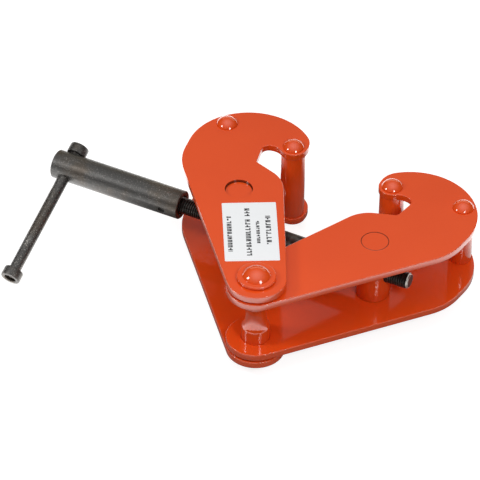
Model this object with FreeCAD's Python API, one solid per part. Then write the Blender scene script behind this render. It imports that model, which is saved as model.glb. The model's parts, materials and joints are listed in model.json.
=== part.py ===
"""Screw-adjusted beam clamp, lying on its side: millimetres, Z up, square to the jaw plates.

The origin is the middle of the suspension pin. X runs along the spindle, from the handle
towards the free end, and Y points from the pivot towards the mouth of the jaws. The left
jaw has the outer pair of plates and the right jaw the inner pair, with one mirrored outline.
"""

import FreeCAD, Part
import math
import os

# Jaw plates: the outline is the right jaw's, at rest, and the left one is its mirror image.
PLATE_THICKNESS = 6.0
OUTER_PLATE_Z = 32.0  # inner face of the left jaw's plates
INNER_PLATE_Z = 24.0  # inner face of the right jaw's plates
PIVOT_END_RADIUS = 24.0
OUTER_EDGE_ANGLE = 49.0  # direction of the long back edge, from X
INNER_EDGE_ANGLE = 62.7  # direction of the edge on the mouth's side
HEAD_CENTRE = (74.3, 137.6)
HEAD_RADIUS = 52.8
HEAD_TANGENTS = (-8.0, 41.0, 90.0, 130.0)  # where the head's round corners meet
BACK_BLEND_RADIUS = 50.0
LIP_LEFT = 33.7
LIP_OUTER_RADIUS = 18.5
# From the lip into the slot for the flange, down to its innermost corner: x, y, corner radius.
SLOT_CORNERS = (
    (LIP_LEFT, 150.0, 11.5),
    (48.5, 149.4, 10.0),
    (56.2, 154.6, 12.0),
    (68.8, 152.4, 6.5),
    (64.1, 129.6, 2.7),
)
SHELF_ANGLE = 18.0  # the edge under the flange
SHELF_BLEND_RADIUS = 28.6

# Centres of the holes in the right jaw's plates.
TRUNNION_AT = (61.4, 91.7)
TIP_AT = (45.2, 160.6)
BACK_AT = (107.8, 162.8)

RUNNING_CLEARANCE = 0.05  # radial, a shaft in a hole
SIDE_CLEARANCE = 0.3  # between faces that slide past each other

# Suspension pin, its washers and the thin rings between the two pairs of plates.
PIN_RADIUS = 11.5
PIN_NECK_RADIUS = 8.5
PIN_WAIST_HALF = 12.0
PIN_SPIGOT_RADIUS = 8.0
PIN_HEAD_RADIUS = 11.3
PIN_HEAD_HEIGHT = 6.0
WASHER_RADIUS = 15.8
WASHER_THICKNESS = 2.8
WASHER_ROUNDING = 1.0
RING_RADIUS = 17.5
RING_THICKNESS = 1.4

# Rivets and the sleeves that hold each pair of plates apart.
RIVET_RADIUS = 5.0
RIVET_HEAD_RADIUS = 8.8
RIVET_HEAD_HEIGHT = 5.4
TIP_BAR_RADIUS = 10.2
BACK_SPACER_RADIUS = 9.5

# Trunnion nuts.
JOURNAL_RADIUS = 11.5
TRUNNION_RADIUS = 14.0
LEFT_JOURNAL_RECESS = 2.2
RIGHT_JOURNAL_RECESS = 0.1
NUT_HOLE_OVERRUN = 1.0  # how far the tool that cuts the cross hole passes the nut

# Spindle, its handle tube and the parts in the tube's mouth.
SPINDLE_RADIUS = 7.0
SPINDLE_END_X = 94.0
SPINDLE_CHAMFER = 1.5
TUBE_LEFT_X = -231.8
TUBE_RIGHT_X = -113.2
TUBE_RADIUS = 12.2
TUBE_BORE_RADIUS = 8.5
TUBE_CHAMFER = 0.6
SHANK_LEFT_X = -139.0
SHANK_RIGHT_X = -122.0
CROSS_HOLE_REACH = 30.0  # half the length of a tool that cuts a hole through the tube
BUSH_LEFT_X = -121.5
BUSH_RIGHT_X = -116.5
CROSS_PIN_X = -127.0
CROSS_PIN_RADIUS = 2.9
CROSS_PIN_TILT = 8.0  # below horizontal, towards -Y
CROSS_PIN_SINK = 1.6  # from the tube's surface to the pin's end

# Tommy bar: distances along its axis, from the spindle's axis, positive towards -Y and down.
BAR_X = -220.0
BAR_TILT = 22.0
BAR_RADIUS = 5.0
KNOB_RADIUS = 8.3
KNOB_LENGTH = 8.4
KNOB_CHAMFER = 0.8
KNOB_RECESS = 2.5
UPPER_KNOB_FACE = -(TUBE_RADIUS + 0.2)
LOWER_KNOB_FACE = 104.2

# Label, along the left jaw's centre line.
LABEL_SIZE = (44.0, 71.5)
LABEL_CENTRE = (-29.1, 48.1)
LABEL_THICKNESS = 0.2
LABEL_TURN = 28.8

LEFT = -1
RIGHT = 1
SIDES = {"left": LEFT, "right": RIGHT}
LAYERS = {"top": 1, "bottom": -1}
PLATE_Z = {"left": OUTER_PLATE_Z, "right": INNER_PLATE_Z}
UP = FreeCAD.Vector(0, 0, 1)
TOLERANCE = 1e-4  # two lengths this close are the same


def polar(angle, length=1.0):
    """Vector in the XY plane, from an angle in degrees."""
    turn = math.radians(angle)
    return FreeCAD.Vector(length * math.cos(turn), length * math.sin(turn), 0)


def tangent_corner(centre, radius, first, second):
    """Corner where the tangents to a circle at two angles meet, with the circle's radius."""
    reach = radius / math.cos(math.radians(second - first) / 2)
    corner = FreeCAD.Vector(*centre, 0) + polar((first + second) / 2, reach)
    return corner.x, corner.y, radius


def line_meet(point, direction, other, other_direction):
    """Where two lines in the XY plane cross."""
    gap = other - point
    across = direction.cross(other_direction).z
    return point + direction * (gap.cross(other_direction).z / across)


def plate_corners():
    """The right jaw's outline as (x, y, corner radius), anticlockwise from the mouth's edge."""
    outer_normal = OUTER_EDGE_ANGLE - 90
    inner_normal = INNER_EDGE_ANGLE - 270
    lowest = (outer_normal + inner_normal) / 2
    origin = (0, 0)
    pivot_end = [
        tangent_corner(origin, PIVOT_END_RADIUS, inner_normal, lowest),
        tangent_corner(origin, PIVOT_END_RADIUS, lowest, outer_normal),
    ]
    head = FreeCAD.Vector(*HEAD_CENTRE, 0)
    first, last = HEAD_TANGENTS[0], HEAD_TANGENTS[-1]
    back = line_meet(
        polar(outer_normal, PIVOT_END_RADIUS),
        polar(OUTER_EDGE_ANGLE),
        head + polar(first, HEAD_RADIUS),
        polar(first + 90),
    )
    round_head = [
        tangent_corner(HEAD_CENTRE, HEAD_RADIUS, a, b)
        for a, b in zip(HEAD_TANGENTS, HEAD_TANGENTS[1:])
    ]
    lip = line_meet(
        head + polar(last, HEAD_RADIUS),
        polar(last + 90),
        FreeCAD.Vector(LIP_LEFT, 0, 0),
        polar(90),
    )
    shelf = line_meet(
        FreeCAD.Vector(*SLOT_CORNERS[-1][:2], 0),
        polar(SHELF_ANGLE),
        polar(inner_normal, PIVOT_END_RADIUS),
        polar(INNER_EDGE_ANGLE),
    )
    return [
        *pivot_end,
        (back.x, back.y, BACK_BLEND_RADIUS),
        *round_head,
        (lip.x, lip.y, LIP_OUTER_RADIUS),
        *SLOT_CORNERS,
        (shelf.x, shelf.y, SHELF_BLEND_RADIUS),
    ]


def rounded_face(corners):
    """Flat face at Z = 0 inside a polygon whose corners are rounded, each by its own radius."""
    points = [FreeCAD.Vector(x, y, 0) for x, y, _ in corners]
    arcs = []
    for index, (_, _, radius) in enumerate(corners):
        corner = points[index]
        before = (points[index - 1] - corner).normalize()
        after = (points[(index + 1) % len(points)] - corner).normalize()
        half = before.getAngle(after) / 2
        middle = (before + after).normalize()
        arcs.append(
            (
                corner + before * (radius / math.tan(half)),
                corner + middle * (radius / math.sin(half) - radius),
                corner + after * (radius / math.tan(half)),
            )
        )
    edges = []
    for index, (start, through, end) in enumerate(arcs):
        edges.append(Part.Arc(start, through, end).toShape())
        following = arcs[(index + 1) % len(arcs)][0]
        if end.distanceToPoint(following) > TOLERANCE:
            edges.append(Part.LineSegment(end, following).toShape())
    return Part.Face(Part.Wire(Part.sortEdges(edges)[0]))


def cylinder(radius, low, high, at=(0, 0)):
    """Upright cylinder between two heights."""
    return Part.makeCylinder(radius, high - low, FreeCAD.Vector(*at, low), UP)


def sleeve(radius, bore, low, high, at=(0, 0)):
    """Upright ring or tube between two heights."""
    return cylinder(radius, low, high, at).cut(cylinder(bore, low, high, at))


def turned(points):
    """Solid of revolution about Z, from half its section: each item is a point, or a pair of
    points for an arc through the first to the second."""
    edges = []
    here = FreeCAD.Vector(*points[0][0])
    for item in points[1:]:
        there = FreeCAD.Vector(*item[-1])
        if len(item) == 2:
            edges.append(Part.Arc(here, FreeCAD.Vector(*item[0]), there).toShape())
        else:
            edges.append(Part.LineSegment(here, there).toShape())
        here = there
    edges.append(Part.LineSegment(here, FreeCAD.Vector(*points[0][0])).toShape())
    face = Part.Face(Part.Wire(edges))
    return face.revolve(FreeCAD.Vector(), UP, 360)


def dome_point(radius, height):
    """Point half-way up a shallow dome, as (radius, height above its base)."""
    ball = (radius**2 + height**2) / (2 * height)
    level = height / 2
    return math.sqrt(ball**2 - (ball - height + level) ** 2), level


def double_headed(shank, shoulder, head_radius, head_height):
    """Half-section of a shank with a domed head at each end, from the bottom to the top."""
    side, level = dome_point(head_radius, head_height)
    top = shoulder + head_height
    return [
        ((0, 0, -top),),
        ((side, 0, -shoulder - level), (head_radius, 0, -shoulder)),
        ((shank, 0, -shoulder),),
        ((shank, 0, shoulder),),
        ((head_radius, 0, shoulder),),
        ((side, 0, shoulder + level), (0, 0, top)),
    ]


def mirrored_place(place, side):
    """Where a hole of the right jaw is on one side of the clamp."""
    return side * place[0], place[1]


def jaw_plate(side_name, layer):
    """One plate of a jaw, with its pivot, trunnion and rivet holes."""
    side = SIDES[side_name]
    face = rounded_face(plate_corners())
    if side == LEFT:
        face = face.mirror(FreeCAD.Vector(), FreeCAD.Vector(1, 0, 0))
    inner = PLATE_Z[side_name]
    low = inner if layer > 0 else -inner - PLATE_THICKNESS
    high = low + PLATE_THICKNESS
    face.translate(UP * low)
    plate = face.extrude(UP * PLATE_THICKNESS)
    holes = [
        ((0, 0), PIN_RADIUS + RUNNING_CLEARANCE),
        (mirrored_place(TRUNNION_AT, side), JOURNAL_RADIUS),
        (mirrored_place(TIP_AT, side), RIVET_RADIUS),
        (mirrored_place(BACK_AT, side), RIVET_RADIUS),
    ]
    for at, radius in holes:
        plate = plate.cut(cylinder(radius, low, high, at))
    return plate


def suspension_pin():
    """Pin that carries the hoist: waisted in the middle for the hook, with peened heads."""
    shoulder = OUTER_PLATE_Z + PLATE_THICKNESS + SIDE_CLEARANCE
    seat = shoulder + WASHER_THICKNESS
    side, level = dome_point(PIN_HEAD_RADIUS, PIN_HEAD_HEIGHT)
    return turned(
        [
            ((0, 0, -seat - PIN_HEAD_HEIGHT),),
            ((side, 0, -seat - level), (PIN_HEAD_RADIUS, 0, -seat)),
            ((PIN_SPIGOT_RADIUS, 0, -seat),),
            ((PIN_SPIGOT_RADIUS, 0, -shoulder),),
            ((PIN_RADIUS, 0, -shoulder),),
            ((PIN_RADIUS, 0, -PIN_WAIST_HALF),),
            ((PIN_NECK_RADIUS, 0, 0), (PIN_RADIUS, 0, PIN_WAIST_HALF)),
            ((PIN_RADIUS, 0, shoulder),),
            ((PIN_SPIGOT_RADIUS, 0, shoulder),),
            ((PIN_SPIGOT_RADIUS, 0, seat),),
            ((PIN_HEAD_RADIUS, 0, seat),),
            ((side, 0, seat + level), (0, 0, seat + PIN_HEAD_HEIGHT)),
        ]
    )


def pivot_pieces():
    """The pin, a washer under each head and a thin ring between the plates on each side."""
    pieces = {"suspension_pin": suspension_pin()}
    washer_low = OUTER_PLATE_Z + PLATE_THICKNESS + SIDE_CLEARANCE
    gap_low = INNER_PLATE_Z + PLATE_THICKNESS
    ring_low = (gap_low + OUTER_PLATE_Z - RING_THICKNESS) / 2
    for layer_name, layer in LAYERS.items():
        washer = sleeve(
            WASHER_RADIUS, PIN_SPIGOT_RADIUS, washer_low, washer_low + WASHER_THICKNESS
        )
        rim = [edge for edge in washer.Edges if is_rim(edge, WASHER_RADIUS, washer_low)]
        washer = washer.makeFillet(WASHER_ROUNDING, rim)
        ring = sleeve(RING_RADIUS, PIN_RADIUS, ring_low, ring_low + RING_THICKNESS)
        pieces[f"pivot_{layer_name}_washer"] = flipped(washer, layer)
        pieces[f"pivot_{layer_name}_ring"] = flipped(ring, layer)
    return pieces


def is_rim(edge, radius, low):
    """Is this edge the outer circle of a round part, above its bottom face?"""
    curve = edge.Curve
    return (
        isinstance(curve, Part.Circle)
        and abs(curve.Radius - radius) < TOLERANCE
        and curve.Center.z > low + TOLERANCE
    )


def flipped(shape, layer):
    """The same shape on the top, or its mirror image on the bottom."""
    return shape if layer > 0 else shape.mirror(FreeCAD.Vector(), UP)


def jaw_fasteners(side_name):
    """Sleeves between a jaw's plates and the rivets through them."""
    side = SIDES[side_name]
    inner = PLATE_Z[side_name]
    rivet = turned(
        double_headed(
            RIVET_RADIUS, inner + PLATE_THICKNESS, RIVET_HEAD_RADIUS, RIVET_HEAD_HEIGHT
        )
    )
    pieces = {}
    for name, sleeve_name, place, radius in (
        ("tip", "tip_bar", TIP_AT, TIP_BAR_RADIUS),
        ("back", "back_spacer", BACK_AT, BACK_SPACER_RADIUS),
    ):
        at = mirrored_place(place, side)
        pieces[f"{side_name}_{sleeve_name}"] = sleeve(radius, RIVET_RADIUS, -inner, inner, at)
        pieces[f"{side_name}_{name}_rivet"] = rivet.translated(FreeCAD.Vector(*at, 0))
    return pieces


def along_x(radius, start, end):
    """Cylinder about the spindle's axis."""
    base = FreeCAD.Vector(start, TRUNNION_AT[1], 0)
    return Part.makeCylinder(radius, end - start, base, FreeCAD.Vector(1, 0, 0))


def trunnion(side_name, recess):
    """Round nut that turns in a jaw's plates, crossed by the spindle."""
    at = mirrored_place(TRUNNION_AT, SIDES[side_name])
    inner = PLATE_Z[side_name]
    body_half = inner - SIDE_CLEARANCE
    journal_half = inner + PLATE_THICKNESS - recess
    nut = cylinder(TRUNNION_RADIUS, -body_half, body_half, at)
    journal = cylinder(JOURNAL_RADIUS - RUNNING_CLEARANCE, -journal_half, journal_half, at)
    reach = TRUNNION_RADIUS + NUT_HOLE_OVERRUN
    hole = along_x(SPINDLE_RADIUS + RUNNING_CLEARANCE, at[0] - reach, at[0] + reach)
    return nut.fuse(journal).cut(hole).removeSplitter()


def spindle():
    """Screw rod with a thicker shank that is pinned in the handle tube."""
    rod = along_x(SPINDLE_RADIUS, SHANK_RIGHT_X, SPINDLE_END_X)
    end = [edge for edge in rod.Edges if abs(edge.CenterOfMass.x - SPINDLE_END_X) < TOLERANCE]
    rod = rod.makeChamfer(SPINDLE_CHAMFER, end)
    shank = along_x(TUBE_BORE_RADIUS, SHANK_LEFT_X, SHANK_RIGHT_X)
    return rod.fuse(shank).cut(tilted_rod(CROSS_PIN_X, CROSS_PIN_TILT, CROSS_PIN_RADIUS))


def tilted_rod(x, tilt, radius, start=-CROSS_HOLE_REACH, end=CROSS_HOLE_REACH):
    """Cylinder square to the spindle, tilted down towards -Y, between two distances from it."""
    direction = FreeCAD.Vector(0, -math.cos(math.radians(tilt)), -math.sin(math.radians(tilt)))
    base = FreeCAD.Vector(x, TRUNNION_AT[1], 0) + direction * start
    return Part.makeCylinder(radius, end - start, base, direction)


def handle_tube():
    """Tube that turns the spindle, open at both ends, with its two cross holes."""
    tube = along_x(TUBE_RADIUS, TUBE_LEFT_X, TUBE_RIGHT_X)
    tube = tube.makeChamfer(TUBE_CHAMFER, [e for e in tube.Edges if isinstance(e.Curve, Part.Circle)])
    tube = tube.cut(along_x(TUBE_BORE_RADIUS, TUBE_LEFT_X, TUBE_RIGHT_X))
    tube = tube.cut(tilted_rod(BAR_X, BAR_TILT, BAR_RADIUS + RUNNING_CLEARANCE))
    return tube.cut(tilted_rod(CROSS_PIN_X, CROSS_PIN_TILT, CROSS_PIN_RADIUS))


def knob(face, outward):
    """Round collar on the tommy bar, from the face nearest the tube outwards."""
    far = face + outward * KNOB_LENGTH
    start, end = min(face, far), max(face, far)
    body = tilted_rod(BAR_X, BAR_TILT, KNOB_RADIUS, start, end)
    body = body.makeChamfer(KNOB_CHAMFER, [e for e in body.Edges if isinstance(e.Curve, Part.Circle)])
    return body.cut(tilted_rod(BAR_X, BAR_TILT, BAR_RADIUS, start, end))


def spindle_pieces():
    """Spindle, handle tube, cross pin, bush, tommy bar and knobs."""
    bush = along_x(TUBE_BORE_RADIUS - RUNNING_CLEARANCE, BUSH_LEFT_X, BUSH_RIGHT_X)
    bush = bush.cut(along_x(SPINDLE_RADIUS + RUNNING_CLEARANCE, BUSH_LEFT_X, BUSH_RIGHT_X))
    pin_half = TUBE_RADIUS - CROSS_PIN_SINK
    bar_start = UPPER_KNOB_FACE - KNOB_LENGTH + KNOB_RECESS
    bar_end = LOWER_KNOB_FACE + KNOB_LENGTH - KNOB_RECESS
    return {
        "spindle": spindle(),
        "handle_tube": handle_tube(),
        "handle_cross_pin": tilted_rod(
            CROSS_PIN_X, CROSS_PIN_TILT, CROSS_PIN_RADIUS, -pin_half, pin_half
        ),
        "spindle_bush": bush,
        "tommy_bar": tilted_rod(BAR_X, BAR_TILT, BAR_RADIUS, bar_start, bar_end),
        "tommy_bar_upper_knob": knob(UPPER_KNOB_FACE, -1),
        "tommy_bar_lower_knob": knob(LOWER_KNOB_FACE, 1),
    }


def label():
    """Thin sticker on the left jaw's top plate."""
    width, height = LABEL_SIZE
    corner = FreeCAD.Vector(-width / 2, -height / 2, OUTER_PLATE_Z + PLATE_THICKNESS)
    sticker = Part.makeBox(width, height, LABEL_THICKNESS, corner)
    sticker.rotate(FreeCAD.Vector(), UP, LABEL_TURN)
    return sticker.translated(FreeCAD.Vector(*LABEL_CENTRE, 0))


def all_pieces():
    """Every piece of the clamp, by node name."""
    pieces = pivot_pieces()
    for side_name in SIDES:
        for layer_name, layer in LAYERS.items():
            pieces[f"{side_name}_jaw_{layer_name}_plate"] = jaw_plate(side_name, layer)
        pieces.update(jaw_fasteners(side_name))
    pieces["left_trunnion"] = trunnion("left", LEFT_JOURNAL_RECESS)
    pieces["right_trunnion"] = trunnion("right", RIGHT_JOURNAL_RECESS)
    pieces.update(spindle_pieces())
    pieces["label"] = label()
    return pieces


def main():
    """Writes each piece as its own STEP file."""
    os.makedirs("parts", exist_ok=True)
    for name, shape in all_pieces().items():
        if not shape.isValid() or len(shape.Solids) != 1:
            raise RuntimeError(f"{name} is not one valid solid")
        shape.Solids[0].exportStep(f"parts/{name}.step")
        print(f"{name}: {shape.Volume / 1000:.2f} cm3")


main()
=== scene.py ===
"""Screw-adjusted beam clamp, in metres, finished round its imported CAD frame.

Two orange jaws, each a pair of plates, swing on one suspension pin. A spindle with a left-hand
and a right-hand thread crosses a trunnion nut in each jaw, and a tube with a sliding tommy bar
turns it.
"""

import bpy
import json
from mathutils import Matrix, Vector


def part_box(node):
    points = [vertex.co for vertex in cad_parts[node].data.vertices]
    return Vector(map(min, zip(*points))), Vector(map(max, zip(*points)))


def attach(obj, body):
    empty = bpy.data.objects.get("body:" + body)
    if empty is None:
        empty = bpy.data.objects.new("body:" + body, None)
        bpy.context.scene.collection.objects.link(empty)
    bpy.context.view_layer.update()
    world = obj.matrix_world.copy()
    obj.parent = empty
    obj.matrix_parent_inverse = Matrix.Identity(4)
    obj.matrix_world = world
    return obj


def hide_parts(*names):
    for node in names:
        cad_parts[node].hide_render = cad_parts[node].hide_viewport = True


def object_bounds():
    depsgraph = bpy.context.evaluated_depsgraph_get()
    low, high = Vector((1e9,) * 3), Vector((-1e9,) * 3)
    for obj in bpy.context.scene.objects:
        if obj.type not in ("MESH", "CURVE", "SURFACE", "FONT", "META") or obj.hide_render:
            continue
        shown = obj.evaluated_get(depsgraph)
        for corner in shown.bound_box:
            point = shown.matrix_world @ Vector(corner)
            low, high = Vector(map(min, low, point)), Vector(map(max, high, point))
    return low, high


bl_info = {
    "name": "Beam clamp",
    "version": (1, 0, 0),
    "blender": (4, 5, 0),
    "location": "View3D > Sidebar > Beam clamp",
    "description": "Builds a painted beam clamp with a screw spindle and a tommy bar",
    "category": "Add Mesh",
}

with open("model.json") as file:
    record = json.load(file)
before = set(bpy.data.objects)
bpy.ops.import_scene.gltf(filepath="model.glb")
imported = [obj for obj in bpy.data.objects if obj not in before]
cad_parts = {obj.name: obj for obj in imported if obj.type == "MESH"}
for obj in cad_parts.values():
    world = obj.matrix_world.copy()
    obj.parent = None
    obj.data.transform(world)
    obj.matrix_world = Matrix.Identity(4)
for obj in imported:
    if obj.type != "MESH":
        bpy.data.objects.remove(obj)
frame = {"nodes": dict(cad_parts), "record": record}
CAD_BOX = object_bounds()

import json
import math

import bmesh
import bpy
from bpy.props import (
    FloatProperty,
    FloatVectorProperty,
    IntProperty,
    PointerProperty,
)
from mathutils import Matrix, Vector

MM = 0.001
UP = Vector((0, 0, 1))
ALONG = Vector((1, 0, 0))
MERGE_DISTANCE = 1e-6
COPLANAR = math.radians(0.1)  # triangles that meet at less than this are one flat face
SHARP = math.radians(32)  # a steeper edge stays crisp or gets rounded
FLAT_LIMIT = 0.99995  # a face this square to the axis is shaded flat
TUBE_SHARP = math.radians(50)  # on the tube only edges steeper than this get rounded
OUTER_SHARE = 0.9  # an edge beyond this share of a part's radius is on its outside
TURN_STEPS = 96
PIN_STEPS = 32
BAR_STEPS = 48
KNOB_STEPS = 64
DOME_STEPS = 14
WAIST_STEPS = 20
CREASE = 0.3 * MM  # a narrow face beside a corner keeps the shading of the next one even

SIDES = ("left", "right")
LAYERS = ("top", "bottom")
BODY_OF = {
    node: body
    for body, members in frame["record"]["behaviour"]["bodies"].items()
    for node in members
}


def box_size(node):
    """Width, depth and height of a CAD node at rest."""
    low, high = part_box(node)
    return high - low


def box_centre(node):
    """Middle of a CAD node's box at rest."""
    low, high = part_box(node)
    return (low + high) / 2


SPINDLE_AXIS = box_centre("handle_tube")
TUBE_RADIUS = box_size("handle_tube").z / 2
SPINDLE_END_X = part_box("spindle")[1].x
SHANK_START_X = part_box("spindle")[0].x
SHANK_RADIUS = box_size("spindle").z / 2


def metres(name, description, default):
    """A size in metres."""
    return FloatProperty(
        name=name, description=description, subtype="DISTANCE", unit="LENGTH", default=default, min=0
    )


def degrees(name, description, default):
    """An angle, given in degrees."""
    return FloatProperty(
        name=name, description=description, subtype="ANGLE", unit="ROTATION", default=math.radians(default)
    )


def rgb(name, description, default):
    """A linear colour."""
    return FloatVectorProperty(
        name=name, description=description, subtype="COLOR", size=3, default=default, min=0, max=1
    )


def factor_property(name, description, default):
    """A value from 0 to 1."""
    return FloatProperty(
        name=name, description=description, subtype="FACTOR", default=default, min=0, max=1
    )


def strength_property(name, description, default):
    """The strength of a light."""
    return FloatProperty(name=name, description=description, default=default, min=0)


class PaintSettings(bpy.types.PropertyGroup):
    """The orange enamel."""

    colour: rgb("Colour", "Enamel in even light", (0.86, 0.09, 0.011))
    thick_colour: rgb("Thick paint", "Enamel where it has gathered", (0.74, 0.062, 0.008))
    chip_colour: rgb("Chips", "Primer that shows in small chips", (0.75, 0.45, 0.33))
    # Painted shade: dark colour for the hole walls and the rims round the trunnions, where shade falls in
    # the gaps
    gap_shade_colour: rgb("Painted shade", "Grime in the gaps round the trunnions", (0.06, 0.014, 0.006))
    thin_colour: rgb("Thin paint", "Enamel drawn thin at an edge", (0.8, 0.16, 0.06))
    roughness: factor_property("Roughness", "Roughness of the enamel", 0.075)
    edge_radius: metres(
        "Edge radius", "Rounding that the paint gives to the edges of the plates", 0.65 * MM
    )


class SteelSettings(bpy.types.PropertyGroup):
    """The black oxide of the spindle and the handle."""

    oxide_colour: rgb("Oxide", "Black oxide on the handle", (0.088, 0.086, 0.083))
    brown_colour: rgb("Brown bloom", "Brownish bloom in the oxide", (0.105, 0.08, 0.057))
    worn_colour: rgb(
        "Worn steel", "Steel where the oxide has worn through", (0.5, 0.47, 0.43)
    )
    dark_colour: rgb("Dark oxide", "Mottling in the oxide", (0.028, 0.026, 0.025))
    thread_colour: rgb("Thread", "Oxide on the spindle", (0.022, 0.02, 0.019))
    smudge_colour: rgb("Smudges", "Dry smudges on the spindle", (0.05, 0.042, 0.036))
    crest_colour: rgb("Crests", "Rubbed crests of the threads", (0.16, 0.145, 0.13))
    roughness: factor_property("Roughness", "Roughness of the oxide", 0.34)


class PinSizes(bpy.types.PropertyGroup):
    """The suspension pin and its washers."""

    neck_radius: metres("Neck radius", "Radius of the pin's waist", 8.5 * MM)
    waist_half: metres("Half waist", "Height of the waist above and below the middle", 12 * MM)
    head_radius: metres("Head radius", "Radius of the peened heads", 11.3 * MM)
    spigot_radius: metres("Spigot radius", "Radius of the ends that carry the washers", 8 * MM)
    washer_rounding: metres("Washer rounding", "Rounding of the washers' outer edge", 1.0 * MM)
    ring_rounding: metres("Ring rounding", "Rounding of the thin rings", 0.3 * MM)
    head_skirt: metres("Head skirt", "Upright edge under a peened head", 0.4 * MM)


class FastenerSizes(bpy.types.PropertyGroup):
    """The rivets, the sleeves round them and the trunnion nuts."""

    rivet_radius: metres("Rivet radius", "Radius of the rivets' shanks", 5 * MM)
    head_skirt: metres("Head skirt", "Upright edge under a rivet's dome", 0.7 * MM)
    head_undercut: metres(
        "Head undercut", "How far a rivet's dome reaches past its foot", 0.25 * MM
    )
    sleeve_rounding: metres("Sleeve rounding", "Rounding at the ends of the sleeves", 0.5 * MM)
    journal_radius: metres(
        "Journal radius", "Radius of the trunnions' ends, which turn in the plates", 11.3 * MM
    )
    trunnion_reach: metres(
        "Trunnion reach", "Edges of the plates this close to a trunnion's axis stay crisp", 13 * MM
    )
    trunnion_rounding: metres("Trunnion rounding", "Rounding of the trunnions' edges", 0.35 * MM)


class SpindleSizes(bpy.types.PropertyGroup):
    """The spindle's two threads and the shank in the handle tube."""

    radius: metres("Thread radius", "Radius over the crests", 7 * MM)
    depth: metres("Thread depth", "Depth from crest to root", 1.15 * MM)
    pitch: metres("Pitch", "Distance between turns of the thread", 2 * MM)
    plain_half: metres(
        "Half plain part", "Reach of the plain middle to each side of the jaws' centre", 30 * MM
    )
    end_chamfer: metres("End chamfer", "Chamfer on the free end", 1.5 * MM)
    shank_depth: metres(
        "Shank depth", "Depth inside the tube's mouth at which the shank begins", 8.8 * MM
    )
    shank_chamfer: metres("Shank chamfer", "Chamfer on the shank", 0.6 * MM)
    overlap: metres("Overlap", "Length of thread hidden in the shank", 1 * MM)
    steps_per_turn: IntProperty(
        name="Steps per turn", description="Facets round one turn of the thread", default=40, min=12
    )


class HandleSizes(bpy.types.PropertyGroup):
    """The tube and its bush, the tommy bar, its knobs and the pin in the tube."""

    tube_rounding: metres("Tube rounding", "Rounding of the tube's edges", 0.25 * MM)
    bush_rounding: metres("Bush rounding", "Rounding of the bush's edges", 0.4 * MM)
    bush_clearance: metres("Bush clearance", "Gap round the spindle's thread", 0.05 * MM)
    bar_radius: metres("Bar radius", "Radius of the tommy bar", 5 * MM)
    bar_tilt: degrees("Bar tilt", "How far the bar's low end leans below level", 22)
    pin_radius: metres("Cross pin radius", "Radius of the pin through the tube", 2.9 * MM)
    pin_tilt: degrees("Cross pin tilt", "How far the cross pin leans below level", 8)
    pin_sink: metres(
        "Cross pin sink", "How far the pin's ends lie below the tube's surface", 1.6 * MM
    )
    pin_crown: metres("Cross pin crown", "Height of the pin's rounded ends", 0.4 * MM)
    pin_step: metres("Cross pin step", "Step round the pin's rounded ends", 0.2 * MM)
    knob_radius: metres("Knob radius", "Radius of the knobs", 8.3 * MM)
    knob_length: metres("Knob length", "Length of the knobs", 8.4 * MM)
    knob_chamfer: metres("Knob chamfer", "Chamfer on the knobs' edges", 0.9 * MM)
    bar_recess: metres("Bar recess", "How far the bar's ends lie inside the knobs", 2.5 * MM)
    bar_chamfer: metres(
        "Bar chamfer", "Chamfer on the bar's ends and in the knobs' mouths", 0.5 * MM
    )


class LabelSettings(bpy.types.PropertyGroup):
    """The sticker on the left jaw."""

    size: FloatVectorProperty(
        name="Size",
        description="Width and length of the sticker",
        subtype="XYZ_LENGTH",
        unit="LENGTH",
        size=2,
        default=(44 * MM, 71.5 * MM),
    )
    turn: degrees("Turn", "Turn of the sticker on the plate", 28.8)
    corner_radius: metres("Corners", "Radius of the sticker's corners", 0.8 * MM)
    film_colour: rgb("Film", "Colour of the film", (0.96, 0.98, 1.0))
    shade_colour: rgb("Film shade", "Faint clouds in the film", (0.9, 0.93, 0.97))
    ink_colour: rgb("Ink", "Colour of the printed marks", (0.02, 0.022, 0.028))


class StageSettings(bpy.types.PropertyGroup):
    """The floor and the room's light."""

    floor_colour: rgb("Floor", "Colour of the floor", (0.4, 0.4, 0.4))
    shade_colour: rgb("Floor shade", "Faint clouds in the floor", (0.38, 0.38, 0.38))
    paper_colour: rgb("Paper", "Floor as the clamp is lit by it", (0.35, 0.35, 0.35))
    floor_glow: strength_property(
        "Floor glow", "Light that the floor adds, as a light table does", 0.85
    )
    gloss_glow: strength_property("Gloss glow", "Light of the far floor in gloss", 2.6)
    far_glow: strength_property("Far glow", "Light that the far floor casts", 0.1)
    room_light: strength_property("Room light", "Strength of the even light from the room", 0.03)
    ceiling_light: strength_property("Ceiling light", "Strength of the light from straight above", 1.9)


class Value:
    """An output socket of a shader node: arithmetic on it adds Math nodes."""

    def __init__(self, finish, socket):
        self.finish = finish
        self.socket = socket

    def maths(self, operation, first, second):
        """Result of a Math node."""
        return self.finish.add("ShaderNodeMath", {"operation": operation}, {0: first, 1: second})

    def __add__(self, other):
        return self.maths("ADD", self, other)

    def __radd__(self, other):
        return self.maths("ADD", other, self)

    def __sub__(self, other):
        return self.maths("SUBTRACT", self, other)

    def __rsub__(self, other):
        return self.maths("SUBTRACT", other, self)

    def __mul__(self, other):
        return self.maths("MULTIPLY", self, other)

    def __rmul__(self, other):
        return self.maths("MULTIPLY", other, self)

    def __truediv__(self, other):
        return self.maths("DIVIDE", self, other)

    def __abs__(self):
        return self.maths("ABSOLUTE", self, 0.0)

    def __floor__(self):
        return self.maths("FLOOR", self, 0.0)

    def root(self):
        """Square root."""
        return self.maths("SQRT", self, 0.0)


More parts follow.
